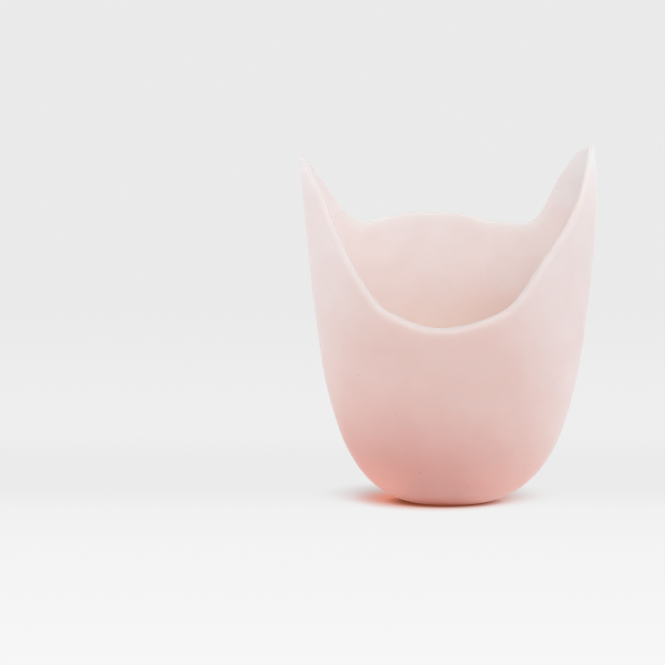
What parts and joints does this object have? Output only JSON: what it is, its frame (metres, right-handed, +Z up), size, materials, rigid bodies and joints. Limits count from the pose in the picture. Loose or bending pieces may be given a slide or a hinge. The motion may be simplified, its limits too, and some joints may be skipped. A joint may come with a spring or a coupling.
{
  "type": "gel toe pad",
  "caption": "Soft gel cup that cushions the toes in a ballet pointe shoe, standing on its thick toe end, with a low front edge, a higher back edge and a tall tab at each side.",
  "frame": {"origin": "middle of the base of the pad's bounding box, on the surface that its toe end stands on", "axes": "+Z up from the toe end to the mouth, +Y from the low front edge to the high back edge, +X to the taller tab"},
  "size_m": [0.0756, 0.0384, 0.092],
  "materials": {
    "gel": "smooth satin translucent pale pink silicone gel"
  },
  "bodies": {
    "root": {"toe_pad": "gel"}
  },
  "joints": []
}
